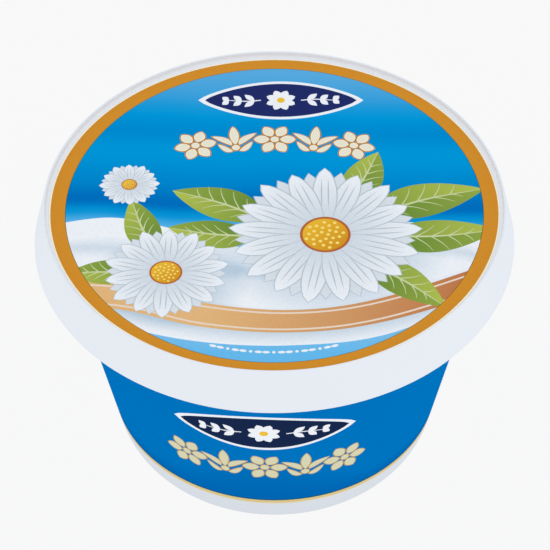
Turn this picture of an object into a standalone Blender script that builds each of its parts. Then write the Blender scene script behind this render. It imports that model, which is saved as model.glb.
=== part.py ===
"""Closed round plastic tub of fresh ricotta, with a press-on lid and printed labels on both.

The tub is shut and can't be seen into, so it is solid. Z is the tub's own axis, the origin is
the centre of the foot that it stands on, and the front of the labels faces -Y.
Every piece is turned from a half profile of corners, each with its own fillet.
"""

import math

import bpy
from mathutils import Vector

MM = 0.001

# Driving dimensions, in millimetres
HEIGHT = 66.0  # foot to the crest of the lid's rim
LID_DIAMETER = 101.0  # across the lower edge of the skirt
LABEL_DIAMETER = 93.8  # of the printed disc on the lid
LABEL_DEPTH = 1.35  # of the disc below the crest of the rim
SKIRT_DEPTH = 9.8  # from the crest down to the skirt's lower edge
SKIRT_SLOPE = 0.243  # how far the skirt flares out for each unit down
TUB_DIAMETER = 88.4  # at the height of the skirt's lower edge
TUB_SLOPE = 0.19  # how far the tub draws in for each unit down
FOOT_FILLET = 10.6  # between the wall and the base
FOOT_RECESS_DIAMETER = 40.0  # of the shallow panel in the base
FOOT_RECESS_DEPTH = 0.9
SIDE_LABEL_LOW = 10.8  # height of the side label's lower edge
SIDE_LABEL_TOP = 58.0  # of its top edge, behind the skirt

LABEL_THICKNESS = 0.3
GAP = 0.3  # left between pieces that touch
LID_WALL = 1.1  # of the skirt
LID_PANEL = 0.9  # of the panel under the printed disc
RIM_WALL_SETBACK = 0.4  # from the disc's edge to the rim's inner side
FLANGE_DIAMETER = 94.8  # of the tub's rim, which the lid clips over
FLANGE_DEPTH = 2.0
CLIP_BEAD_DIAMETER = 93.9  # across the inside of the bead in the skirt
CLIP_BEAD_HEIGHT = 0.5
CLIP_BEAD_LEAD_IN = 1.0  # height of the slope below the bead
CLIP_BEAD_LEAD_OUT = 0.2  # height of the slope above it

FLANGE_TOP_FILLET = 0.5
FLANGE_EDGE_FILLET = 0.3
FLANGE_ROOT_FILLET = 0.6
RIM_INNER_FILLET = 0.4
RIM_OUTER_FILLET = 0.5
SKIRT_EDGE_FILLET = 0.35
CHORD_ERROR = 0.04  # how far a fillet's chords may cut inside its arc

STEPS = 96  # facets round every turned piece
MERGE_DISTANCE = 0.01

WHITE = (0.78, 0.81, 0.84)
SIDE_BLUE = (0.0, 0.16, 0.50)
LID_BLUE = (0.01, 0.24, 0.60)
SATIN = 0.35  # roughness of the mouldings
SEMI_GLOSS = 0.32  # roughness of the labels

# Heights and radii that follow from them
LABEL_PLANE = HEIGHT - LABEL_DEPTH
LID_FLOOR = LABEL_PLANE - LABEL_THICKNESS - GAP
LID_UNDERSIDE = LID_FLOOR - LID_PANEL
SKIRT_EDGE = HEIGHT - SKIRT_DEPTH
TUB_TOP = LID_UNDERSIDE - GAP
FLANGE_UNDERSIDE = TUB_TOP - FLANGE_DEPTH
CLIP_BEAD_TOP = FLANGE_UNDERSIDE - GAP
FLANGE_RADIUS = FLANGE_DIAMETER / 2


def skirt_radius(height):
    """Outside of the lid's skirt, drawn on straight to the crest."""
    return LID_DIAMETER / 2 - SKIRT_SLOPE * (height - SKIRT_EDGE)


def skirt_inside(height):
    """Inside of the lid's skirt, one wall thickness in, square to the slope."""
    return skirt_radius(height) - LID_WALL * math.hypot(1, SKIRT_SLOPE)


def tub_radius(height, inset=0.0):
    """Outside of the tub's wall, or a surface set in from it, square to the slope."""
    outside = TUB_DIAMETER / 2 - TUB_SLOPE * (SKIRT_EDGE - height)
    return outside - inset * math.hypot(1, TUB_SLOPE)


def rounded(corners):
    """Profile points from corners (radius, height, fillet), each fillet an arc of chords."""
    points = []
    count = len(corners)
    for index, (x, z, fillet) in enumerate(corners):
        corner = Vector((x, z))
        if not fillet:
            points.append(corner)
            continue
        before = Vector(corners[index - 1][:2]) - corner
        after = Vector(corners[(index + 1) % count][:2]) - corner
        before.normalize()
        after.normalize()
        half = before.angle(after) / 2
        towards = (before + after).normalized()
        centre = corner + towards * (fillet / math.sin(half))
        start = corner + before * (fillet / math.tan(half)) - centre
        turn = start.angle_signed(corner + after * (fillet / math.tan(half)) - centre)
        chords = math.ceil(abs(turn) / (2 * math.acos(1 - CHORD_ERROR / fillet)))
        for step in range(chords + 1):
            angle = -turn * step / chords
            cosine, sine = math.cos(angle), math.sin(angle)
            spoke = Vector((start.x * cosine - start.y * sine, start.x * sine + start.y * cosine))
            points.append(centre + spoke)
    return points


def plastic(name, colour, roughness):
    """A plain moulded or printed plastic."""
    material = bpy.data.materials.new(name)
    material.use_nodes = True
    shader = material.node_tree.nodes["Principled BSDF"]
    shader.inputs["Base Color"].default_value = (*colour, 1.0)
    shader.inputs["Roughness"].default_value = roughness
    shader.inputs["Metallic"].default_value = 0.0
    return material


def turned(name, corners, material, closed):
    """Turns a half profile, given from the top down its outer side, about the Z axis."""
    points = [(point.x * MM, 0.0, point.y * MM) for point in rounded(corners)]
    edges = [(i, i + 1) for i in range(len(points) - 1)]
    if closed:
        edges.append((len(points) - 1, 0))
    mesh = bpy.data.meshes.new(name)
    mesh.from_pydata(points, edges, [])
    piece = bpy.data.objects.new(name, mesh)
    bpy.context.scene.collection.objects.link(piece)
    mesh.materials.append(material)
    screw = piece.modifiers.new("Turned", "SCREW")
    screw.axis = "Z"
    screw.steps = STEPS
    screw.render_steps = STEPS
    screw.use_merge_vertices = True
    screw.merge_threshold = MERGE_DISTANCE * MM
    screw.use_smooth_shade = True
    return piece


def make_tub(material):
    """The solid tub: flange under the lid, drafted wall set back for its label, rounded foot."""
    wall_inset = LABEL_THICKNESS + GAP
    label_seat = SIDE_LABEL_LOW - GAP
    recess = FOOT_RECESS_DIAMETER / 2
    corners = [
        (0.0, TUB_TOP, 0),
        (FLANGE_RADIUS, TUB_TOP, FLANGE_TOP_FILLET),
        (FLANGE_RADIUS, FLANGE_UNDERSIDE, FLANGE_EDGE_FILLET),
        (tub_radius(FLANGE_UNDERSIDE, wall_inset), FLANGE_UNDERSIDE, FLANGE_ROOT_FILLET),
        (tub_radius(label_seat, wall_inset), label_seat, 0),
        (tub_radius(label_seat), label_seat, 0),
        (tub_radius(0.0), 0.0, FOOT_FILLET),
        (recess + FOOT_RECESS_DEPTH / 2, 0.0, 0),
        (recess - FOOT_RECESS_DEPTH / 2, FOOT_RECESS_DEPTH, 0),
        (0.0, FOOT_RECESS_DEPTH, 0),
    ]
    return turned("tub", corners, material, closed=False)


def make_lid(material):
    """The lid: sunk panel, raised rounded rim, flared skirt, and the bead that clips on."""
    rim_inside = LABEL_DIAMETER / 2 + RIM_WALL_SETBACK
    bead = CLIP_BEAD_DIAMETER / 2
    bead_low = CLIP_BEAD_TOP - CLIP_BEAD_HEIGHT
    lead_in = bead_low - CLIP_BEAD_LEAD_IN
    lead_out = CLIP_BEAD_TOP + CLIP_BEAD_LEAD_OUT
    corners = [
        (0.0, LID_FLOOR, 0),
        (rim_inside, LID_FLOOR, 0),
        (rim_inside, HEIGHT, RIM_INNER_FILLET),
        (skirt_radius(HEIGHT), HEIGHT, RIM_OUTER_FILLET),
        (skirt_radius(SKIRT_EDGE), SKIRT_EDGE, SKIRT_EDGE_FILLET),
        (skirt_inside(SKIRT_EDGE), SKIRT_EDGE, SKIRT_EDGE_FILLET),
        (skirt_inside(lead_in), lead_in, 0),
        (bead, bead_low, 0),
        (bead, CLIP_BEAD_TOP, 0),
        (skirt_inside(lead_out), lead_out, 0),
        (skirt_inside(LID_UNDERSIDE), LID_UNDERSIDE, 0),
        (0.0, LID_UNDERSIDE, 0),
    ]
    return turned("lid", corners, material, closed=False)


def make_lid_label(material):
    """The printed disc that lies in the lid's sunk panel."""
    edge = LABEL_DIAMETER / 2
    corners = [
        (0.0, LABEL_PLANE, 0),
        (edge, LABEL_PLANE, 0),
        (edge, LABEL_PLANE - LABEL_THICKNESS, 0),
        (0.0, LABEL_PLANE - LABEL_THICKNESS, 0),
    ]
    return turned("lid_label", corners, material, closed=False)


def make_tub_label(material):
    """The printed sleeve round the tub's wall, its outside flush with the foot below it."""
    corners = [
        (tub_radius(SIDE_LABEL_TOP), SIDE_LABEL_TOP, 0),
        (tub_radius(SIDE_LABEL_LOW), SIDE_LABEL_LOW, 0),
        (tub_radius(SIDE_LABEL_LOW, LABEL_THICKNESS), SIDE_LABEL_LOW, 0),
        (tub_radius(SIDE_LABEL_TOP, LABEL_THICKNESS), SIDE_LABEL_TOP, 0),
    ]
    return turned("tub_label", corners, material, closed=True)


def main():
    for old in list(bpy.data.objects):
        bpy.data.objects.remove(old, do_unlink=True)
    white = plastic("moulded_white_polypropylene", WHITE, SATIN)
    make_tub(white)
    make_lid(white)
    make_tub_label(plastic("printed_side_sleeve", SIDE_BLUE, SEMI_GLOSS))
    make_lid_label(plastic("printed_lid_disc", LID_BLUE, SEMI_GLOSS))


main()
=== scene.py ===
"""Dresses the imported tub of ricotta: moulded white tub and lid, printed films on both, and a plain
studio.

Outlines of the print and profiles of the mouldings are in millimetres, and everything that Blender
is given is in metres. The print faces -Y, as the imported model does.
"""

import math
from collections import namedtuple

import bpy
from bpy.props import FloatProperty, FloatVectorProperty, IntProperty, PointerProperty
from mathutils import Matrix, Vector
from mathutils.geometry import delaunay_2d_cdt


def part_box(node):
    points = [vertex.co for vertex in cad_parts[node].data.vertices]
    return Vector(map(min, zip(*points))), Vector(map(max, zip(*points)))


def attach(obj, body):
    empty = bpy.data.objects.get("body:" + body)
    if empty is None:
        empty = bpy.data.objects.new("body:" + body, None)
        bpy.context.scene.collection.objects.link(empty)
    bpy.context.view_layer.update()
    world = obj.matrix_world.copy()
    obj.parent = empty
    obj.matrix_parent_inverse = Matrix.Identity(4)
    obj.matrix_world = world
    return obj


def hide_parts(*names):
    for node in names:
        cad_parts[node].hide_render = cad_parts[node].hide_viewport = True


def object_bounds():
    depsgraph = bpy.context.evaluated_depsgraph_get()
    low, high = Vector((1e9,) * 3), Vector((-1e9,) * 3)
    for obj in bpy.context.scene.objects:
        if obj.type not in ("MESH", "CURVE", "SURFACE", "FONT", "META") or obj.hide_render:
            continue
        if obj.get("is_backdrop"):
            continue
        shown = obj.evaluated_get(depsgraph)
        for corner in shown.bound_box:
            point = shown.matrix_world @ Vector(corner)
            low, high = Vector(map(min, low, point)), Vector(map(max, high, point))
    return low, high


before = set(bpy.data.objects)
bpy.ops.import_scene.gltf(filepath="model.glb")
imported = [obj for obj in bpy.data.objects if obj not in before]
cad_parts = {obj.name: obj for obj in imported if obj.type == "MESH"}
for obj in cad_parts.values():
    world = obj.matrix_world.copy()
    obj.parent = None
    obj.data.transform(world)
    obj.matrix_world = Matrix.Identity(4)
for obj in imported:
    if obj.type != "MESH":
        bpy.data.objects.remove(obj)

bl_info = {
    "name": "Closed ricotta tub",
    "version": (1, 0, 0),
    "blender": (4, 5, 0),
    "location": "3D View > Sidebar > Tub",
    "description": "Moulded tub and lid with printed films, in a plain studio",
    "category": "Object",
}

MM = 0.001
CAD_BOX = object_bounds()
LID_LOW, LID_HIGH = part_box("lid")
_, DISC_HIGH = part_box("lid_label")
SLEEVE_LOW, SLEEVE_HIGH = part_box("tub_label")
_, TUB_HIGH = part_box("tub")

# What the boxes of the solids don't tell about the mouldings, in millimetres
LID_DIAMETER = 101.0  # across the skirt's lower edge, before it is rounded
SKIRT_SLOPE = 0.243  # how far the skirt flares out for each unit down
SKIRT_EDGE_FILLET = 0.35
LID_WALL = 1.1
LID_GAP = 0.3  # left between the lid and the tub's rim
LID_CORNER_FILLET = 0.5  # inside, where the skirt leaves the panel
RIM_CREST = 0.44  # width of the rim's top, before it is rounded
RIM_LEAN = 0.1  # how far the rim's inner side leans in on its way down
RIM_COVE = 0.8  # radius of the hollow between the lid's panel and the rim's inner side
RIM_INNER_FILLET, RIM_OUTER_FILLET = 0.25, 0.2
BEAD_RADIUS = 46.95  # inside of the bead that clips under the tub's rim
BEAD_HEIGHT = 0.5
BEAD_LEAD_IN, BEAD_LEAD_OUT = 1.0, 0.2  # heights of the slopes below and above it
BEAD_FILLET = 0.2
TUB_SLOPE = 0.19  # how far the tub draws in for each unit down
FLANGE_DEPTH = 2.0
FLANGE_TOP_FILLET, FLANGE_EDGE_FILLET, FLANGE_ROOT_FILLET = 0.5, 0.4, 0.6
FOOT_FILLET = 10.6
RECESS_EDGE, RECESS_CEILING = 20.6, 19.7  # radii of the shallow panel in the base
RECESS_DEPTH = 0.9
RECESS_FILLET = 0.3
# The gate mark in that panel: radius, height over it and fillet of each corner
GATE_MARK = ((2.6, 0, 0.2), (2.3, 0.35, 0.15), (0.8, 0.35, 0.1), (0.6, -0.05, 0.1), (0, -0.05, 0))
FILM_RELIEF = 0.05  # how far the printed films stand over the plastic
FILM_THICKNESS = 0.25
FILM_STEP = 0.1  # height of the slope out from under the side film to the foot
SEAM_GAP = 0.5  # between the two ends of the side film
SEAM_ANGLE = 100.0  # degrees round from the front to the seam
CHORD_ERROR = 0.008  # how far a fillet's chords may cut inside its arc
SHARP = 40.0  # degrees between faces over which an edge isn't smoothed

# The print, in millimetres
DISC_POINTS = 192  # corners of the disc's round outlines
HAIRLINE = 0.3  # width of the pale line outside the ochre ring
RING_ACROSS, RING_ALONG = 0.926, 0.938  # inner edge of the ochre ring, as shares of the disc
RING_SHIFT = -0.42  # of that edge, towards the front
RING_LAP = 0.1  # how far the ring's ink laps over the sky's, as printers do so that no gap shows
SKY_FRONT, SKY_BACK = -40.0, 50.0  # ends of the sky's colour ramp
SKY_TILT = 0.035  # how far the sky's bands fall for each unit to the right
SKY_DRIFT = 5.0  # how far they wander
SKY_CLOUDS = 30.0  # from one swing to the next
UNROLLED_RADIUS = 40.0  # one radian round the side is this long in the side film's outlines
FRONT, BACK = -3.0, -183.0  # degrees round to the middle of the side's two designs
GOLD_LINE = 1.4  # width of the line along the side film's lower edge
GOLD_LAP = 0.32  # how far its ink laps over the blue
DEEP_EDGE = 4.0  # height of the deeper blue over the gold line
DEEP_MIDDLE, DEEP_WIDTH = 14.0, 16.0  # how much higher it reaches at a design, and how wide

# The finishes, in millimetres
FLOW_MARKS = 22.0  # the clouds that the melt leaves as it fills the mould
FLOW_SHADES = (0.985, 1.012)  # darkest and lightest, as shares of the colour
SINK_WAVES, SINK_DEPTH, SINK_STRENGTH = 14.0, 0.12, 0.6  # where the thin wall shrinks
# The mould's real grain is under 0.1 mm; it is drawn coarser, so that it shows
MOULD_GRAIN, GRAIN_DEPTH, GRAIN_STRENGTH = 0.45, 0.02, 0.12
MOULD_ROUGHNESS = (0.58, 0.66)
ORANGE_PEEL, PEEL_DEPTH, PEEL_STRENGTH = 2.6, 0.02, 0.5
FILM_ROUGHNESS = (0.3, 0.38)
# The print's real dots are about 0.17 mm apart; they are drawn coarser, so that they show
SCREEN_DOTS = 0.5
DOT_MOTTLE = 0.03  # how much darker and lighter the dots make the ink
NOISE_SPAN = (0.3, 0.7)  # most of a noise's values lie between these
POLYPROPYLENE_IOR = 1.49
NO_SHEEN = 0.0  # specular level: the photograph shows no sheen on plastic, film or ground

# The studio, in metres and watts
FLOOR_HALF = 4.0
FLOOR_GREY, FLOOR_ROUGHNESS, FLOOR_GLOW = 0.04, 0.9, 0.905
ROOM_COLOUR, ROOM_LIGHT = (0.96, 0.98, 1.0), 0.92
WARM, COOL = (1.0, 0.99, 0.98), (0.97, 0.98, 1.0)
LAMP_TARGET = (0, 0, 0.05)
LAMPS = (  # name, place, width, height, power and colour
    ("key", (0.1, -1.3, 0.9), 1.6, 1.0, 1.1, WARM),
    ("fill_left", (-1.5, -0.5, 0.4), 1.2, 0.6, 1.4, COOL),
    ("fill_right", (1.5, -0.6, 0.4), 1.2, 0.6, 1.9, COOL),
)

# The photograph's camera
IMAGE_SIDE = 550  # pixels
FOCAL_PIXELS = 2600.0
PRINCIPAL_X = 285.0  # pixel column that the optical axis meets
LOOK_DOWN = 45.255  # degrees
EYE = (2.2, -391.5, 439.2)  # millimetres from the centre of the foot
SENSOR = 36.0  # millimetres
CLIP_NEAR, CLIP_FAR = 0.01, 20.0  # metres


def linear(code):
    """Linear red, green and blue of an sRGB hex value."""
    levels = [int(code[i : i + 2], 16) / 255 for i in (1, 3, 5)]
    return tuple(v / 12.92 if v <= 0.04045 else ((v + 0.055) / 1.055) ** 2.4 for v in levels)


def length_property(name, description, default):
    """A length that the user can change."""
    return FloatProperty(name=name, description=description, default=default, unit="LENGTH")


def colour_property(name, description, code):
    """A colour that the user can change, given as an sRGB hex value."""
    return FloatVectorProperty(
        name=name, description=description, default=linear(code), min=0.0, max=1.0, subtype="COLOR"
    )


class TubSizes(bpy.types.PropertyGroup):
    """Sizes of the mouldings and films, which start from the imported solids"""

    height: length_property("Height", "Foot to the crest of the lid's rim", LID_HIGH.z)
    skirt_edge: length_property("Skirt edge", "Height of the skirt's lower edge", LID_LOW.z)
    disc_radius: length_property("Disc radius", "Radius of the lid's printed disc", DISC_HIGH.x)
    disc_height: length_property("Disc height", "Height of the lid's printed face", DISC_HIGH.z)
    film_low: length_property("Side film, low", "Height of its lower edge", SLEEVE_LOW.z)
    film_top: length_property("Side film, top", "Height of its top edge", SLEEVE_HIGH.z)
    film_radius: length_property("Side film, radius", "Radius of its top edge", SLEEVE_HIGH.x)
    rim_radius: length_property("Rim radius", "Radius of the tub's rim, in the lid", TUB_HIGH.x)
    rim_height: length_property("Rim height", "Height of the tub's rim, in the lid", TUB_HIGH.z)
    facets: IntProperty(name="Facets", description="Facets round a moulding", default=192, min=48)


class TubColours(bpy.types.PropertyGroup):
    """Colours of the plastics and inks"""

    lid_plastic: colour_property("Lid plastic", "White polypropylene of the lid", "#E9EDF3")
    # The tub's white is the lid's made darker: painted shade for the tub's downward-facing foot
    tub_plastic: colour_property("Tub plastic", "Its white in the tub, darkened as painted shade", "#DBE0E7")
    border: colour_property("Border", "Ochre ring round the lid's print", "#D6902E")
    border_edge: colour_property("Border edge", "Pale hairline outside the ring", "#FFF6DC")
    sky_high: colour_property("Sky, high", "Pale blue at the back of the lid", "#57ACE1")
    sky_clear: colour_property("Sky, clear", "Clear blue of the lid", "#009ADB")
    sky_deep: colour_property("Sky, deep", "Deep blue across the lid", "#0070BF")
    sky_low: colour_property("Sky, low", "Pale blue at the front of the lid", "#68BCEE")
    side_blue: colour_property("Side blue", "Blue of the side film", "#0074BF")
    side_deep: colour_property("Side blue, deep", "Its darker middle low down", "#0065B2")
    gold_line: colour_property("Gold line", "Line under the side blue", "#DCC68C")
    navy: colour_property("Navy", "Ground of the lid's medallion", "#232D67")
    navy_side: colour_property("Navy, side", "Ground of the side's medallion", "#18284B")
    cream: colour_property("Cream", "Filling of the lid's garland", "#EBE7D3")
    cream_side: colour_property("Cream, side", "Filling of the side's garland", "#DAD6B4")
    gilt: colour_property("Gilt", "Outline of the lid's garland", "#C18533")
    gilt_side: colour_property("Gilt, side", "Outline of the side's garland", "#C4A250")
    white: colour_property("White", "White ink", "#F2F5FA")
    shade: colour_property("Shade", "Cool shade in the white", "#C6D2DC")
    leaf_light: colour_property("Leaf, light", "Sunny side of the leaves", "#B6C455")
    leaf_dark: colour_property("Leaf, dark", "Shaded side of the leaves", "#5E8537")
    pollen: colour_property("Pollen", "Lit side of the daisies' centres", "#F2C23A")
    pollen_dark: colour_property("Pollen, dark", "Their shaded side", "#D08A1E")
    pollen_spot: colour_property("Pollen, spots", "Grains on them", "#FBE07A")
    tan: colour_property("Tan", "Light part of the ribbon", "#E6B87E")
    brown: colour_property("Brown", "Dark part of the ribbon", "#B8663A")


# Outlines of the print, anticlockwise


def ellipse(x, y, half_width, half_height, count=64, turn=0.0):
    """An ellipse about (x, y), its axes turned by some degrees."""
    steps = [2 * math.pi * step / count for step in range(count)]
    points = [Vector((half_width * math.cos(a), half_height * math.sin(a))) for a in steps]
    return moved(points, x, y, turn)


def moved(points, x, y, turn=0.0, size=1.0):
    """Points scaled, turned by some degrees about the origin, then shifted to (x, y)."""
    angle = math.radians(turn)
    cosine, sine = size * math.cos(angle), size * math.sin(angle)
    return [Vector((x + p.x * cosine - p.y * sine, y + p.x * sine + p.y * cosine)) for p in points]


def blade(length, width, skew=1.0, power=1.0, bend=0.0, count=14, sides=(1, 1)):
    """A petal or leaf along +X from the origin, widest where the skew puts it, bent sideways."""
    lower, upper = [], []
    for step in range(count + 1):
        t = step / count
        half = width / 2 * math.sin(math.pi * t**skew) ** power if 0 < step < count else 0.0
        middle = bend * length * t * t
        lower.append(Vector((length * t, middle - half * sides[0])))
        upper.append(Vector((length * t, middle + half * sides[1])))
    return lower + upper[-2:0:-1]


def smooth(points, parts=8):
    """A Catmull-Rom curve through points of two or three numbers, with some parts to a span."""
    knots = [Vector(p) for p in points]
    knots = [2 * knots[0] - knots[1], *knots, 2 * knots[-1] - knots[-2]]
    curve = []
    for a, b, c, d in zip(knots, knots[1:], knots[2:], knots[3:]):
        for step in range(parts):
            t = step / parts
            square = (2 * a - 5 * b + 4 * c - d) * t**2
            cube = (3 * b - a - 3 * c + d) * t**3
            curve.append((2 * b + (c - a) * t + square + cube) / 2)
    return [*curve, knots[-2]]


def band(points, parts=8):
    """A band along the smooth centre line through points (x, y, width)."""
    line = smooth(points, parts)
    left, right = [], []
    for index, knot in enumerate(line):
        ahead = line[min(index + 1, len(line) - 1)]
        behind = line[max(index - 1, 0)]
        side = Vector((behind.y - ahead.y, ahead.x - behind.x)).normalized() * knot.z / 2
        left.append(knot.xy + side)
        right.append(knot.xy - side)
    return right + left[::-1]


def under(points, depth, parts=8):
    """The area under a smooth line that runs from left to right, down to a depth."""
    line = smooth(points, parts)
    return [Vector((line[0].x, depth)), Vector((line[-1].x, depth)), *line[::-1]]


def fade(start, end):
    """A tone that runs from 0 at one point to 1 at another."""
    start, axis = Vector(start), Vector(end) - Vector(start)
    return lambda point: (point - start).dot(axis) / axis.length_squared


Field = namedtuple("Field", "outline ink tone clips")


class Sheet:
    """Fields of ink, painted one over another. A field's tone, a function of the place, mixes its
    ink's two colours."""

    def __init__(self):
        self.fields = []
        self.clips = frozenset()

    def paint(self, outline, ink, tone=lambda point: 0.0):
        """Paints a field over the fields so far."""
        self.fields.append(Field(outline, ink, tone, self.clips))

    def clip_to_last(self):
        """What is painted from here on shows only inside the field painted last. Gives the clips
        that held before."""
        before = self.clips
        self.clips |= {len(self.fields) - 1}
        return before

    def cut(self, guides):
        """Cuts the fields, and guide lines, into triangles that don't overlap: their points, and
        for each triangle its points' indices and its top field."""
        points, faces, edges = [], [], []
        for each in self.fields:
            faces.append(range(len(points), len(points) + len(each.outline)))
            points.extend(each.outline)
        for start, end in guides:
            edges.append((len(points), len(points) + 1))
            points.extend((Vector(start), Vector(end)))
        inside, closeness = 1, 1e-5
        flat, _, cut, _, _, covered = delaunay_2d_cdt(points, edges, faces, inside, closeness, True)
        triangles = []
        for corners, covers in zip(cut, covered):
            if 0 not in covers:
                continue
            shown = [i for i in covers if self.fields[i].clips <= set(covers)]
            triangles.append((corners, self.fields[max(shown)]))
        return flat, triangles


# Motifs


def leaf(sheet, x, y, turn, length, width, bend):
    """A leaf with a light and a shaded half, a midrib and side veins."""
    full = 0.85  # skew and power of the blade's outline
    shape = {"skew": full, "power": full, "bend": bend}
    tone = fade(moved([Vector((length, 0))], x, y, turn)[0], (x, y))
    sheet.paint(moved(blade(length, width, **shape), x, y, turn), "leaf", tone)
    half = blade(length, width, sides=(1, 0), **shape)
    sheet.paint(moved(half, x, y, turn), "leaf_shaded", tone)
    veins, ahead = 6, 0.12  # a side vein reaches to the leaf's edge this share further along
    for step in range(1, veins):
        t = step / (veins + 1)
        reach = width / 2 * math.sin(math.pi * (t + ahead) ** full) ** full
        for side in (-1, 1):
            root = Vector((length * t, bend * length * t * t))
            end = root + Vector((reach * 0.85, side * reach * 0.8))
            middle = root.lerp(end, 0.5) + Vector((reach * 0.1, 0))
            line = [(*root, 0.3), (*middle, 0.2), (*end, 0.08)]
            sheet.paint(moved(band(line, parts=3), x, y, turn), "leaf_vein")
    rib = [(0, 0, 0.6), (length / 2, bend * length / 4, 0.45), (length, bend * length, 0.1)]
    sheet.paint(moved(band(rib), x, y, turn), "leaf_vein")


def daisy(sheet, x, y, radius, petals, turn):
    """A daisy: a shaded back ring of petals, a creased front ring, and a domed centre."""
    widest, skew = 0.62, 1.35  # how far out a petal is widest, and the skew that puts it there
    width = 2 * math.pi * radius * widest / petals
    rings = ((0.96, 0.5, 0.85), (1.0, 0.0, 0.62))  # reach, turn in petals, and power of the blade
    for front, (reach, offset, power) in enumerate(rings):
        for number in range(petals):
            angle = turn + 360 / petals * (number + offset)
            length = radius * reach * (1 + 0.03 * math.sin(3.1 * number + front))
            tip = moved([Vector((length, 0))], x, y, angle)[0]
            outer = blade(length + 0.012 * radius, width * 1.2, skew=skew, power=power)
            sheet.paint(moved(outer, x, y, angle), "petal_edge")
            inner = blade(length, width * 1.08, skew=skew, power=power)
            ink = "petal" if front else "petal_back"
            sheet.paint(moved(inner, x, y, angle), ink, fade(tip, (x, y)))
            for side in (-0.16, 0.16):
                fold = moved(blade(length * 0.5, width * 0.07), length * 0.36, side * width)
                sheet.paint(moved(fold, x, y, angle), "petal_edge")
    core = radius * 0.24
    sheet.paint(ellipse(x, y, core * 1.12, core * 1.12), "pollen_rim")
    lit = fade((x - core, y + core), (x + core, y - core))
    sheet.paint(ellipse(x, y, core, core), "pollen", lit)
    spots = 26  # set in a spiral, as the florets of a real one are
    golden = math.pi * (3 - math.sqrt(5))
    for number in range(spots):
        out = core * 0.88 * math.sqrt((number + 0.5) / spots)
        spot = Vector((x + out * math.cos(number * golden), y + out * math.sin(number * golden)))
        sheet.paint(ellipse(*spot, core * 0.085, core * 0.085, count=8), "pollen_spot")


def medallion(sheet, x, y, half_width, half_height, ground):
    """A plain pointed oval with a white line round it, and a small flower between two sprigs."""
    line, drawn_out = 0.8, 1.8  # the line's width, and how many times wider it is at the points
    for edge, ink in ((line, "white"), (0.0, ground)):
        long, high = half_width + drawn_out * edge, half_height + edge
        oval = blade(2 * long, 2 * high, power=0.75, count=32)
        sheet.paint(moved(oval, x - long, y), ink)
    size = half_height * 0.62
    for number in range(8):
        petal = blade(size, size * 0.55, skew=1.3, power=0.7, count=8)
        sheet.paint(moved(petal, x, y, 45 * number + 22), "white")
    sheet.paint(ellipse(x, y, size * 0.26, size * 0.26, count=16), "pollen")
    stem = [(size * 1.3, 0, 0.3), (half_width * 0.45, 0.35, 0.34), (half_width * 0.72, 0, 0.15)]
    for turn in (0, 180):
        sheet.paint(moved(band(stem), x, y, turn), "white")
        for number in range(3):
            root = size * 1.7 + number * half_width * 0.17
            for lean in (-42, 42):
                sprig = blade(half_height * (0.55 - 0.1 * number), half_height * 0.26, count=8)
                sheet.paint(moved(moved(sprig, root, 0.2, lean), x, y, turn), "white")


def rosette():
    """Six petals round a bud, one unit across: blades (x, y, turn, length, width, bend), discs."""
    petals = []
    for turn in range(0, 360, 60):
        x, y = moved([Vector((0.15, 0))], 0, 0, turn)[0]
        petals.append((x, y, turn, 0.35, 0.24, 0))
    return petals, [(0, 0, 0.085)]


def palmette():
    """Three blades over a pair of low leaves and a bud, one unit high, listed as the rosette's."""
    petals = [(0, -0.12, 90, 0.62, 0.19, 0)]
    for side in (-1, 1):
        petals.append((side * 0.1, -0.14, 90 - side * 26, 0.5, 0.15, -side * 0.45))
        petals.append((side * 0.1, -0.36, 90 - side * 78, 0.36, 0.13, side * 0.5))
    return petals, [(0, -0.25, 0.08)]


def garland(sheet, places, size, line, layers):
    """Rosettes and palmettes in turn at (x, y, turn), with an outline of some width, in units of
    their size. The layers are the inks of the outline, of its inner third and of the filling."""
    for share, ink in zip((1.0, 0.35, 0.0), layers):
        edge = line * share
        for number, place in enumerate(places):
            petals, buds = palmette() if number % 2 else rosette()
            shapes = [ellipse(x, y, bud + edge, bud + edge, count=16) for x, y, bud in buds]
            for x, y, turn, length, width, bend in petals:
                petal = blade(length + 2 * edge, width + 2 * edge, power=0.7, bend=bend, count=12)
                shapes.append(moved(moved(petal, -edge, 0), x, y, turn))
            for shape in shapes:
                sheet.paint(moved(shape, *place, size), ink)


def crease(line, depth):
    """A soft crease along points (x, y, width): its tone, and outlines from its edge inward."""
    knots = smooth(line)

    def tone(point):
        return max(0, *(depth * (1 - 2 * (point - knot.xy).length / knot.z) for knot in knots))

    return tone, [band([(x, y, w * share) for x, y, w in line]) for share in (1, 0.7, 0.4, 0.1)]


def shadow(x, y, half_width, half_height, depth):
    """A soft round shadow: its tone, and outlines from its edge inward."""

    def tone(point):
        out = math.hypot((point.x - x) / half_width, (point.y - y) / half_height)
        return depth * min(max(2 - 2 * out, 0), 1)

    shares = (1, 0.9, 0.8, 0.7, 0.6, 0.5)
    return tone, [ellipse(x, y, half_width * share, half_height * share) for share in shares]


def milk(sheet, outline, shades):
    """A pool of milk, shaded by creases and shadows."""

    def tone(point):
        return sum(shade(point) for shade, _ in shades)

    sheet.paint(outline, "milk", tone)
    before = sheet.clip_to_last()
    for _, outlines in shades:
        for each in outlines:
            sheet.paint(each, "milk", tone)
    sheet.clips = before


def ribbon(sheet, line):
    """A tan ribbon with pale hems along points (x, y, width)."""
    sheet.paint(band(line), "ribbon", fade((-14, -24), (36, -30)))
    inset, hem = 0.36, 0.45  # of the width out from the middle, and a hem's own width
    for side in (-1, 1):
        sheet.paint(band([(x, y + side * w * inset, hem) for x, y, w in line]), "ribbon_line")


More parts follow.
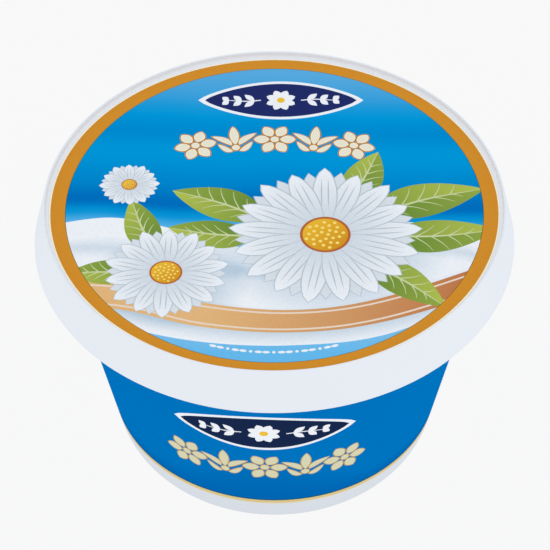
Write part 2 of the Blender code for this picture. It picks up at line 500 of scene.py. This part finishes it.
def lid_sheet(radius):
    """The lid's print: ochre ring, sky, milk, beads, ribbon, leaves, daisies, medallion and
    garland."""
    sheet = Sheet()
    inner = radius - HAIRLINE
    across, along = radius * RING_ACROSS, radius * RING_ALONG
    lap = ellipse(0, RING_SHIFT, across + RING_LAP, along + RING_LAP, DISC_POINTS)
    sheet.paint(ellipse(0, 0, radius, radius, DISC_POINTS), "border_edge")
    sheet.paint(ellipse(0, 0, inner, inner, DISC_POINTS), "border")
    sheet.paint(lap, "border_lap", lambda point: abs(point.y) / radius)
    sheet.paint(ellipse(0, RING_SHIFT, across, along, DISC_POINTS), "sky")
    sheet.clip_to_last()

    shore = [(-48, -6), (-34, -3.5), (-22, -6.5), (-8, -12), (6, -11), (20, -5), (34, -6)]
    shore.append((48, -12))
    sweep = [(-48, -25, 6.4), (-30, -26.5, 7.2), (-14, -31.5, 6.6), (4, -33.2, 6.2)]
    sweep += [(22, -30, 6.4), (48, -19, 7)]
    beyond = -50  # past the front of the disc
    shades = [
        crease([(-48, -13, 4), (-33, -12.5, 7), (-18, -17, 7.6), (4, -21, 3)], 0.6),
        crease([(10, -14, 3), (24, -11, 6.4), (36, -13, 6), (48, -17, 3)], 0.6),
        crease([(x, y - 1.4, w + 4.5) for x, y, w in sweep], 1.1),
        shadow(11.5, -12, 25, 21, 0.9),
        shadow(-21, -22, 16.5, 14, 0.9),
    ]
    milk(sheet, under(shore, beyond), shades)
    bank = [(-48, -24), (-34, -33), (-16, -38.6), (4, -39.8), (24, -36.2), (48, -22)]
    sheet.paint(under(bank, beyond), "shallows", fade((0, -42), (0, -26)))

    bead, long_bead, inset, spacing = 0.34, 0.75, 5.2, 2.1  # half sizes, and degrees apart
    for number in range(-8, 9):
        angle = spacing * number - 90
        x, y = moved([Vector((radius - inset, 0))], 0, 0, angle)[0]
        half = long_bead if number % 3 else bead
        sheet.paint(ellipse(x, y, half, bead, count=12, turn=angle + 90), "white")

    ribbon(sheet, sweep)
    for place in (
        (15, 1, 60, 17, 8.5, 0.1),
        (20, -3, 28, 25, 10, -0.16),
        (22, -9, -4, 24, 9.5, 0.15),
        (18, -16, -32, 21, 8.5, -0.12),
        (-2, -4, 148, 21, 9.5, 0.14),
        (-4, -9, 180, 18, 8, -0.14),
        (-24, -14, 118, 17, 7.5, -0.14),
        (-27, -20, 172, 15, 7, 0.12),
    ):
        leaf(sheet, *place)
    daisy(sheet, 10.5, -8.5, 19.5, 17, turn=5)
    daisy(sheet, -22, -19.5, 12.5, 14, turn=11)
    daisy(sheet, -30.5, 6.5, 6.2, 12, turn=3)

    medallion(sheet, 1.3, 33.2, 16.5, 5.4, "navy")
    arch, crown, step = 74, 20.6, 6.6  # the garland's radius, its top and degrees apart
    places = []
    for number in range(-2, 3):
        x, y = moved([Vector((0, arch))], 0, crown - arch, -step * number)[0]
        places.append((x, y, -step * number))
    garland(sheet, places, 8.6, 0.05, ("gilt", "border_edge", "cream"))
    return sheet


def side_sheet(low, top):
    """The side print, unrolled: blue with a gold line, and at front and back a medallion over a
    garland."""
    sheet = Sheet()
    end = math.radians(SEAM_ANGLE) * UNROLLED_RADIUS - SEAM_GAP / 2
    start = math.radians(SEAM_ANGLE - 360) * UNROLLED_RADIUS + SEAM_GAP / 2
    blue = low + GOLD_LINE
    middles = [math.radians(angle) * UNROLLED_RADIUS for angle in (FRONT, BACK)]

    def strip(bottom, head):
        return [Vector(p) for p in ((start, bottom), (end, bottom), (end, head), (start, head))]

    def depth(point):
        aside = min(abs(point.x - middle) for middle in middles)
        reach = DEEP_EDGE + DEEP_MIDDLE * math.exp(-((aside / DEEP_WIDTH) ** 2))
        return 1 - (point.y - blue) / reach

    sheet.paint(strip(low, top), "gold_line", fade((0, low + 0.4 * GOLD_LINE), (0, low)))
    sheet.paint(strip(blue, top), "side_blue", depth)
    sheet.paint(strip(blue, blue + GOLD_LAP), "gold_lap")
    step = 8.9
    for middle in middles:
        medallion(sheet, middle, 39.5, 17.5, 5.6, "navy_side")
        places = [(middle + step * number, 26, 0) for number in range(-2, 3)]
        garland(sheet, places, 9.4, 0.035, ("gilt_side", "cream_side", "cream_side"))
    return sheet


# Nodes and materials


def add(tree, kind, inputs=None, **settings):
    """Adds a node with its settings; an input is a value or the socket that feeds it."""
    node = tree.nodes.new(kind)
    for name, value in settings.items():
        setattr(node, name, value)
    for name, value in (inputs or {}).items():
        if isinstance(value, bpy.types.NodeSocket):
            tree.links.new(value, node.inputs[name])
        else:
            node.inputs[name].default_value = value
    return node


def new_material(name):
    """An empty Principled material: its tree and its shader."""
    material = bpy.data.materials.new(name)
    material.use_nodes = True
    return material, material.node_tree, material.node_tree.nodes["Principled BSDF"]


def noise(tree, place, size, detail=2):
    """A noise whose features have a real size in millimetres."""
    inputs = {"Vector": place, "Scale": 1 / (size * MM), "Detail": detail}
    return add(tree, "ShaderNodeTexNoise", inputs).outputs["Fac"]


def ranged(tree, value, target, source=(0, 1)):
    """A value of one range spread over another."""
    inputs = {"Value": value, "From Min": source[0], "From Max": source[1]}
    inputs |= {"To Min": target[0], "To Max": target[1]}
    return add(tree, "ShaderNodeMapRange", inputs).outputs["Result"]


def blend(tree, share, first, second):
    """The colour between two, by a share."""
    inputs = {0: share, "A": (*first, 1), "B": (*second, 1)}
    return add(tree, "ShaderNodeMix", inputs, data_type="RGBA").outputs["Result"]


def relief(tree, height, depth, strength, **under):
    """The normal of a relief with a depth in millimetres, over the relief under it, if any."""
    inputs = {"Height": height, "Distance": depth * MM, "Strength": strength, **under}
    return add(tree, "ShaderNodeBump", inputs).outputs["Normal"]


def finish(tree, shader, roughness, normal):
    """The matt surface that plastic and film share."""
    tree.links.new(roughness, shader.inputs["Roughness"])
    tree.links.new(normal, shader.inputs["Normal"])
    shader.inputs["IOR"].default_value = POLYPROPYLENE_IOR
    shader.inputs["Specular IOR Level"].default_value = NO_SHEEN


def moulded_polypropylene(name, colour):
    """Injection-moulded white polypropylene: matt, as the mould's fine eroded grain breaks up any
    sheen, with faint clouds where the melt flowed and faint sink waves in the thin wall."""
    material, tree, shader = new_material(name)
    place = add(tree, "ShaderNodeTexCoord").outputs["Object"]
    shades = [[min(level * share, 1) for level in colour] for share in FLOW_SHADES]
    tint = blend(tree, noise(tree, place, FLOW_MARKS), *shades)
    tree.links.new(tint, shader.inputs["Base Color"])
    sunk = relief(tree, noise(tree, place, SINK_WAVES, detail=1), SINK_DEPTH, SINK_STRENGTH)
    grain = noise(tree, place, MOULD_GRAIN, detail=3)
    eroded = relief(tree, grain, GRAIN_DEPTH, GRAIN_STRENGTH, Normal=sunk)
    finish(tree, shader, ranged(tree, grain, MOULD_ROUGHNESS), eroded)
    return material


def finish_film(tree, shader, place):
    """Printed polypropylene film moulded into the wall: matt, with a faint orange peel."""
    peel = noise(tree, place, ORANGE_PEEL)
    normal = relief(tree, peel, PEEL_DEPTH, PEEL_STRENGTH)
    finish(tree, shader, ranged(tree, peel, FILM_ROUGHNESS), normal)


def printed_ink(name, light, dark):
    """Offset ink on the film: its two colours mix by the tone of each field, and the dots of the
    screen show as a faint mottle."""
    material, tree, shader = new_material("printed_film_" + name)
    place = add(tree, "ShaderNodeTexCoord").outputs["Object"]
    tone = add(tree, "ShaderNodeAttribute", attribute_name="tone").outputs["Fac"]
    dots = noise(tree, place, SCREEN_DOTS)
    level = ranged(tree, dots, (1 - DOT_MOTTLE, 1 + DOT_MOTTLE), NOISE_SPAN)
    both = {0: blend(tree, tone, light, dark), 1: level}
    screened = add(tree, "ShaderNodeVectorMath", both, operation="MULTIPLY")
    tree.links.new(screened.outputs["Vector"], shader.inputs["Base Color"])
    finish_film(tree, shader, place)
    return material


def printed_sky(colours):
    """The lid's blue ground: a blended sky, pale at the back, with a deep band in the middle."""
    material, tree, shader = new_material("printed_film_sky")
    place = add(tree, "ShaderNodeTexCoord").outputs["Object"]
    tilt = {0: place, 1: (SKY_TILT, 1, 0)}
    along = add(tree, "ShaderNodeVectorMath", tilt, operation="DOT_PRODUCT").outputs["Value"]
    drift = {0: noise(tree, place, SKY_CLOUDS), 1: SKY_DRIFT * MM, 2: along}
    bent = add(tree, "ShaderNodeMath", drift, operation="MULTIPLY_ADD").outputs["Value"]
    height = ranged(tree, bent, (0, 1), (SKY_FRONT * MM, SKY_BACK * MM))
    ramp = add(tree, "ShaderNodeValToRGB", {"Fac": height})
    c = colours

    def cleared(share):
        return mixed(c.sky_deep, c.sky_clear, share)

    stops = (  # millimetres from the disc's middle to the back, and the colour there
        (-9, c.sky_low),
        (-6.7, mixed(c.sky_clear, c.sky_low, 0.8)),
        (-4.3, mixed(c.sky_clear, c.sky_low, 0.15)),
        (-2, cleared(0.62)),
        (0.3, c.sky_deep),
        (5.3, cleared(0.4)),
        (10.2, cleared(0.71)),
        (16.5, cleared(0.95)),
        (22.7, cleared(0.64)),
        (28, cleared(0.95)),
        (33, mixed(c.sky_clear, c.sky_high, 0.3)),
        (41, c.sky_high),
    )
    elements = ramp.color_ramp.elements
    ramp.color_ramp.interpolation = "CARDINAL"
    while len(elements) < len(stops):
        elements.new(0.5)
    for element, (y, colour) in zip(elements, stops):
        element.position = (y + SKY_DRIFT / 2 - SKY_FRONT) / (SKY_BACK - SKY_FRONT)
        element.color = (*colour, 1)
    tree.links.new(ramp.outputs["Color"], shader.inputs["Base Color"])
    finish_film(tree, shader, place)
    return material


def mixed(first, second, share):
    """The colour some share of the way from one to another."""
    return tuple(a + (b - a) * share for a, b in zip(first, second))


def overprint(first, second):
    """The darker colour of one ink printed over another."""
    return tuple(a * b for a, b in zip(first, second))


def inks(colours):
    """Every ink of the two prints, by the name that its fields use."""
    c = colours
    black = (0.0, 0.0, 0.0)
    gold_lap = overprint(c.gold_line, c.side_deep)
    even = ("border", "border_edge", "white", "navy", "navy_side", "cream", "cream_side")
    pairs = {name: (getattr(c, name), getattr(c, name)) for name in (*even, "gilt", "gilt_side")}
    pairs |= {
        "border_lap": (overprint(c.border, c.sky_deep), overprint(c.border, c.sky_high)),
        "milk": (c.white, mixed(c.shade, c.sky_low, 0.15)),
        "shallows": (c.sky_low, mixed(c.sky_low, c.white, 0.25)),
        "leaf": (c.leaf_light, mixed(c.leaf_light, c.leaf_dark, 0.75)),
        "leaf_shaded": (mixed(c.leaf_light, c.leaf_dark, 0.45), c.leaf_dark),
        "leaf_vein": (mixed(c.leaf_light, c.white, 0.3), c.leaf_light),
        "petal": (c.white, c.shade),
        "petal_back": (mixed(c.white, c.shade, 0.5), mixed(c.shade, black, 0.08)),
        "petal_edge": (mixed(c.shade, black, 0.12), c.shade),
        "pollen": (c.pollen, c.pollen_dark),
        "pollen_rim": (c.brown, c.brown),
        "pollen_spot": (c.pollen_spot, c.border),
        "ribbon": (c.tan, mixed(c.tan, c.brown, 0.8)),
        "ribbon_line": (mixed(c.tan, c.white, 0.5), c.tan),
        "gold_line": (c.gold_line, mixed(c.gold_line, c.white, 0.5)),
        "gold_lap": (gold_lap, gold_lap),
        "side_blue": (c.side_blue, c.side_deep),
    }
    found = {name: printed_ink(name, light, dark) for name, (light, dark) in pairs.items()}
    found["sky"] = printed_sky(colours)
    return found


# Meshes


def rounded(corners):
    """Profile points from corners (radius, height, fillet), each fillet an arc of chords."""
    points = []
    for index, (x, z, fillet) in enumerate(corners):
        corner = Vector((x, z))
        if not fillet:
            points.append(corner)
            continue
        before = (Vector(corners[index - 1][:2]) - corner).normalized()
        after = (Vector(corners[index + 1][:2]) - corner).normalized()
        half = before.angle(after) / 2
        centre = corner + (before + after).normalized() * (fillet / math.sin(half))
        start = corner + before * (fillet / math.tan(half)) - centre
        turn = start.angle_signed(corner + after * (fillet / math.tan(half)) - centre)
        chords = math.ceil(abs(turn) / (2 * math.acos(1 - CHORD_ERROR / fillet)))
        for step in range(chords + 1):
            angle = -turn * step / chords
            points.append(centre + moved([start], 0, 0, math.degrees(angle))[0])
    return points


def turned(name, corners, facets, material):
    """A smooth solid turned about Z from a profile that starts and ends on the axis, top first."""
    profile = rounded(corners)
    vertices = [(0, 0, profile[0].y * MM)]
    for radius, height in profile[1:-1]:
        for step in range(facets):
            angle = 2 * math.pi * step / facets
            x, y = radius * math.cos(angle), radius * math.sin(angle)
            vertices.append((x * MM, y * MM, height * MM))
    vertices.append((0, 0, profile[-1].y * MM))
    last = len(vertices) - 1
    rings = len(profile) - 2
    faces = []
    for step in range(facets):
        following = (step + 1) % facets
        faces.append((0, 1 + step, 1 + following))
        for ring in range(rings - 1):
            near, far = 1 + ring * facets, 1 + (ring + 1) * facets
            faces.append((near + step, far + step, far + following, near + following))
        base = 1 + (rings - 1) * facets
        faces.append((base + step, last, base + following))
    mesh = bpy.data.meshes.new(name)
    mesh.from_pydata(vertices, [], faces)
    mesh.materials.append(material)
    mesh.shade_smooth()
    mesh.set_sharp_from_angle(angle=math.radians(SHARP))
    piece = bpy.data.objects.new(name, mesh)
    bpy.context.scene.collection.objects.link(piece)
    even = piece.modifiers.new("Even shading", "WEIGHTED_NORMAL")
    even.keep_sharp = True
    return piece


def film(name, sheet, guides, place, normal, palette):
    """A thin closed film: the cut print in front, the same triangles behind, and a rim."""
    flat, triangles = sheet.cut(guides)
    count = len(flat)
    names = sorted({field.ink for _, field in triangles})
    vertices = [place(point, depth) for depth in (0, FILM_THICKNESS) for point in flat]
    faces, slots, tones, normals = [], [], [], []
    used = {}
    for corners, field in triangles:
        faces.append(tuple(corners))
        slots.append(names.index(field.ink))
        for corner in corners:
            tones.append(field.tone(flat[corner]))
            normals.append(normal(flat[corner]))
        for a, b in zip(corners, (*corners[1:], corners[0])):
            used[(a, b)] = slots[-1]
    for corners, slot in list(zip(faces, slots)):
        faces.append(tuple(corner + count for corner in reversed(corners)))
        slots.append(slot)
        tones.extend([0] * len(corners))
        normals.extend(-normal(flat[corner]) for corner in reversed(corners))
    for (a, b), slot in used.items():
        if (b, a) in used:
            continue
        faces.append((b, a, a + count, b + count))
        slots.append(slot)
        spots = [Vector(vertices[i]) for i in faces[-1]]
        outward = (spots[1] - spots[0]).cross(spots[2] - spots[1]).normalized()
        tones.extend([0] * len(spots))
        normals.extend([outward] * len(spots))
    mesh = bpy.data.meshes.new(name)
    mesh.from_pydata(vertices, [], faces)
    for ink in names:
        mesh.materials.append(palette[ink])
    mesh.polygons.foreach_set("material_index", slots)
    mesh.attributes.new("tone", "FLOAT", "CORNER").data.foreach_set("value", tones)
    mesh.shade_smooth()
    mesh.normals_split_custom_set(normals)
    piece = bpy.data.objects.new(name, mesh)
    bpy.context.scene.collection.objects.link(piece)
    return piece


def settle(piece, node):
    """Hands a piece to the frame: it rides on the tub's one body and stands for its solid."""
    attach(piece, "root")
    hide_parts(node)


class MouldedTub(bpy.types.Operator):
    """Builds the tapered white tub with its rim, plain wall and rounded foot"""

    bl_idname = "tub.moulded_tub"
    bl_label = "Moulded tub"

    def execute(self, context):
        sizes, colours = context.scene.tub_sizes, context.scene.tub_colours
        top, rim = sizes.rim_height / MM, sizes.rim_radius / MM
        under_rim = top - FLANGE_DEPTH
        film_low, film_top = sizes.film_low / MM, sizes.film_top / MM

        def wall(height, inset=0.0):
            outside = sizes.film_radius / MM - TUB_SLOPE * (film_top - height)
            return outside - inset * math.hypot(1, TUB_SLOPE)

        corners = [
            (0, top, 0),
            (rim, top, FLANGE_TOP_FILLET),
            (rim, under_rim, FLANGE_EDGE_FILLET),
            (wall(under_rim, FILM_RELIEF), under_rim, FLANGE_ROOT_FILLET),
            (wall(film_low, FILM_RELIEF), film_low, 0),
            (wall(film_low - FILM_STEP), film_low - FILM_STEP, 0),
            (wall(0), 0, FOOT_FILLET),
            (RECESS_EDGE, 0, RECESS_FILLET),
            (RECESS_CEILING, RECESS_DEPTH, RECESS_FILLET),
        ]
        corners += [(radius, RECESS_DEPTH + rise, fillet) for radius, rise, fillet in GATE_MARK]
        # Its colour is darker than the lid's white as painted shade on the foot
        plastic = moulded_polypropylene("moulded_polypropylene_tub_painted_shade", colours.tub_plastic)
        settle(turned("moulded_tub", corners, sizes.facets, plastic), "tub")
        return {"FINISHED"}


class PressedLid(bpy.types.Operator):
    """Builds the white lid: sunk panel, rounded rim, flared skirt and the bead inside it"""

    bl_idname = "tub.pressed_lid"
    bl_label = "Pressed-on lid"

    def execute(self, context):
        sizes, colours = context.scene.tub_sizes, context.scene.tub_colours
        crest, edge = sizes.height / MM, sizes.skirt_edge / MM
        floor = sizes.disc_height / MM - FILM_RELIEF
        under_panel = sizes.rim_height / MM + LID_GAP
        bead = sizes.rim_height / MM - FLANGE_DEPTH - LID_GAP
        lead_in, lead_out = bead - BEAD_HEIGHT - BEAD_LEAD_IN, bead + BEAD_LEAD_OUT

        def skirt(height, inset=0.0):
            outside = LID_DIAMETER / 2 - SKIRT_SLOPE * (height - edge)
            return outside - inset * math.hypot(1, SKIRT_SLOPE)

        rim_inside = skirt(crest) - RIM_CREST
        corners = [
            (0, floor, 0),
            (rim_inside - RIM_LEAN, floor, RIM_COVE),
            (rim_inside, crest, RIM_INNER_FILLET),
            (skirt(crest), crest, RIM_OUTER_FILLET),
            (skirt(edge), edge, SKIRT_EDGE_FILLET),
            (skirt(edge, LID_WALL), edge, SKIRT_EDGE_FILLET),
            (skirt(lead_in, LID_WALL), lead_in, 0),
            (BEAD_RADIUS, bead - BEAD_HEIGHT, BEAD_FILLET),
            (BEAD_RADIUS, bead, BEAD_FILLET),
            (skirt(lead_out, LID_WALL), lead_out, 0),
            (skirt(under_panel, LID_WALL), under_panel, LID_CORNER_FILLET),
            (0, under_panel, 0),
        ]
        plastic = moulded_polypropylene("moulded_polypropylene_lid", colours.lid_plastic)
        settle(turned("pressed_lid", corners, sizes.facets, plastic), "lid")
        return {"FINISHED"}


class LidFilm(bpy.types.Operator):
    """Builds the printed disc that lies in the lid"""

    bl_idname = "tub.lid_film"
    bl_label = "Lid film"

    def execute(self, context):
        sizes = context.scene.tub_sizes
        height = sizes.disc_height / MM

        def place(point, depth):
            return (point.x * MM, point.y * MM, (height - depth) * MM)

        sheet = lid_sheet(sizes.disc_radius / MM)
        palette = inks(context.scene.tub_colours)
        piece = film("lid_film", sheet, [], place, lambda point: Vector((0, 0, 1)), palette)
        settle(piece, "lid_label")
        return {"FINISHED"}


class SideFilm(bpy.types.Operator):
    """Builds the printed film round the tub's side, with its seam out of the camera's view"""

    bl_idname = "tub.side_film"
    bl_label = "Side film"

    def execute(self, context):
        sizes = context.scene.tub_sizes
        low, top = sizes.film_low / MM, sizes.film_top / MM
        top_radius = sizes.film_radius / MM

        def place(point, depth):
            radius = top_radius - TUB_SLOPE * (top - point.y) - depth
            angle = point.x / UNROLLED_RADIUS
            return (radius * math.sin(angle) * MM, -radius * math.cos(angle) * MM, point.y * MM)

        def normal(point):
            angle = point.x / UNROLLED_RADIUS
            return Vector((math.sin(angle), -math.cos(angle), -TUB_SLOPE)).normalized()

        guides = []
        for step in range(1, sizes.facets):
            x = math.radians(SEAM_ANGLE - 360 * step / sizes.facets) * UNROLLED_RADIUS
            guides.append(((x, low), (x, top)))
        palette = inks(context.scene.tub_colours)
        piece = film("side_film", side_sheet(low, top), guides, place, normal, palette)
        settle(piece, "tub_label")
        return {"FINISHED"}


def softbox(name, place, width, height, power, colour):
    """A soft rectangular light at a place, aimed at the tub."""
    light = bpy.data.lights.new(name, "AREA")
    light.shape = "RECTANGLE"
    light.size, light.size_y = width, height
    light.energy = power
    light.color = colour
    lamp = bpy.data.objects.new(name, light)
    bpy.context.scene.collection.objects.link(lamp)
    lamp.location = place
    lamp.rotation_euler = (Vector(LAMP_TARGET) - Vector(place)).to_track_quat("-Z", "Y").to_euler()


class Studio(bpy.types.Operator):
    """Builds the pale floor, the soft lights and the photograph's camera"""

    bl_idname = "tub.studio"
    bl_label = "Studio and camera"

    def execute(self, context):
        scene = context.scene
        half = FLOOR_HALF
        mesh = bpy.data.meshes.new("floor")
        corners = [(-half, -half, 0), (half, -half, 0), (half, half, 0), (-half, half, 0)]
        mesh.from_pydata(corners, [], [(0, 1, 2, 3)])
        # Opal acrylic lit from below: an even glowing white that takes only a faint shadow
        material, _, shader = new_material("opal_acrylic_light_table")
        shader.inputs["Base Color"].default_value = (FLOOR_GREY, FLOOR_GREY, FLOOR_GREY, 1)
        shader.inputs["Roughness"].default_value = FLOOR_ROUGHNESS
        shader.inputs["Specular IOR Level"].default_value = NO_SHEEN
        shader.inputs["Emission Color"].default_value = (1, 1, 1, 1)
        shader.inputs["Emission Strength"].default_value = FLOOR_GLOW
        mesh.materials.append(material)
        floor = bpy.data.objects.new("floor", mesh)
        scene.collection.objects.link(floor)
        floor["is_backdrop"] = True

        world = bpy.data.worlds.new("studio")
        world.use_nodes = True
        background = world.node_tree.nodes["Background"]
        background.inputs["Color"].default_value = (*ROOM_COLOUR, 1)
        background.inputs["Strength"].default_value = ROOM_LIGHT
        scene.world = world
        for lamp in LAMPS:
            softbox(*lamp)

        view = scene.view_settings
        view.view_transform = "Standard"
        view.look = "None"
        lens = bpy.data.cameras.new("photograph")
        lens.sensor_width = SENSOR
        lens.lens = FOCAL_PIXELS / IMAGE_SIDE * SENSOR
        lens.shift_x = (IMAGE_SIDE / 2 - PRINCIPAL_X) / IMAGE_SIDE
        lens.clip_start, lens.clip_end = CLIP_NEAR, CLIP_FAR
        camera = bpy.data.objects.new("photograph", lens)
        scene.collection.objects.link(camera)
        camera.location = Vector(EYE) * MM
        camera.rotation_euler = (math.radians(90 - LOOK_DOWN), 0, 0)
        scene.camera = camera
        return {"FINISHED"}


class TubPanel(bpy.types.Panel):
    """Lists the steps that build the tub, with its sizes and colours"""

    bl_idname = "TUB_PT_steps"
    bl_label = "Closed ricotta tub"
    bl_space_type = "VIEW_3D"
    bl_region_type = "UI"
    bl_category = "Tub"

    def draw(self, context):
        for step in STEPS:
            self.layout.operator(step.bl_idname)
        for group in (context.scene.tub_sizes, context.scene.tub_colours):
            box = self.layout.box()
            for name in group.__annotations__:
                box.prop(group, name)


STEPS = (MouldedTub, PressedLid, LidFilm, SideFilm, Studio)
CLASSES = (TubSizes, TubColours, *STEPS, TubPanel)


def register():
    for each in CLASSES:
        bpy.utils.register_class(each)
    bpy.types.Scene.tub_sizes = PointerProperty(type=TubSizes)
    bpy.types.Scene.tub_colours = PointerProperty(type=TubColours)


def unregister():
    del bpy.types.Scene.tub_colours
    del bpy.types.Scene.tub_sizes
    for each in reversed(CLASSES):
        bpy.utils.unregister_class(each)


def main():
    register()
    bpy.ops.tub.moulded_tub()
    bpy.ops.tub.pressed_lid()
    bpy.ops.tub.lid_film()
    bpy.ops.tub.side_film()
    bpy.ops.tub.studio()
    boxes = {"cad": CAD_BOX, "visual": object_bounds()}
    plain = {name: [list(corner) for corner in box] for name, box in boxes.items()}


if __name__ == "__main__":
    main()
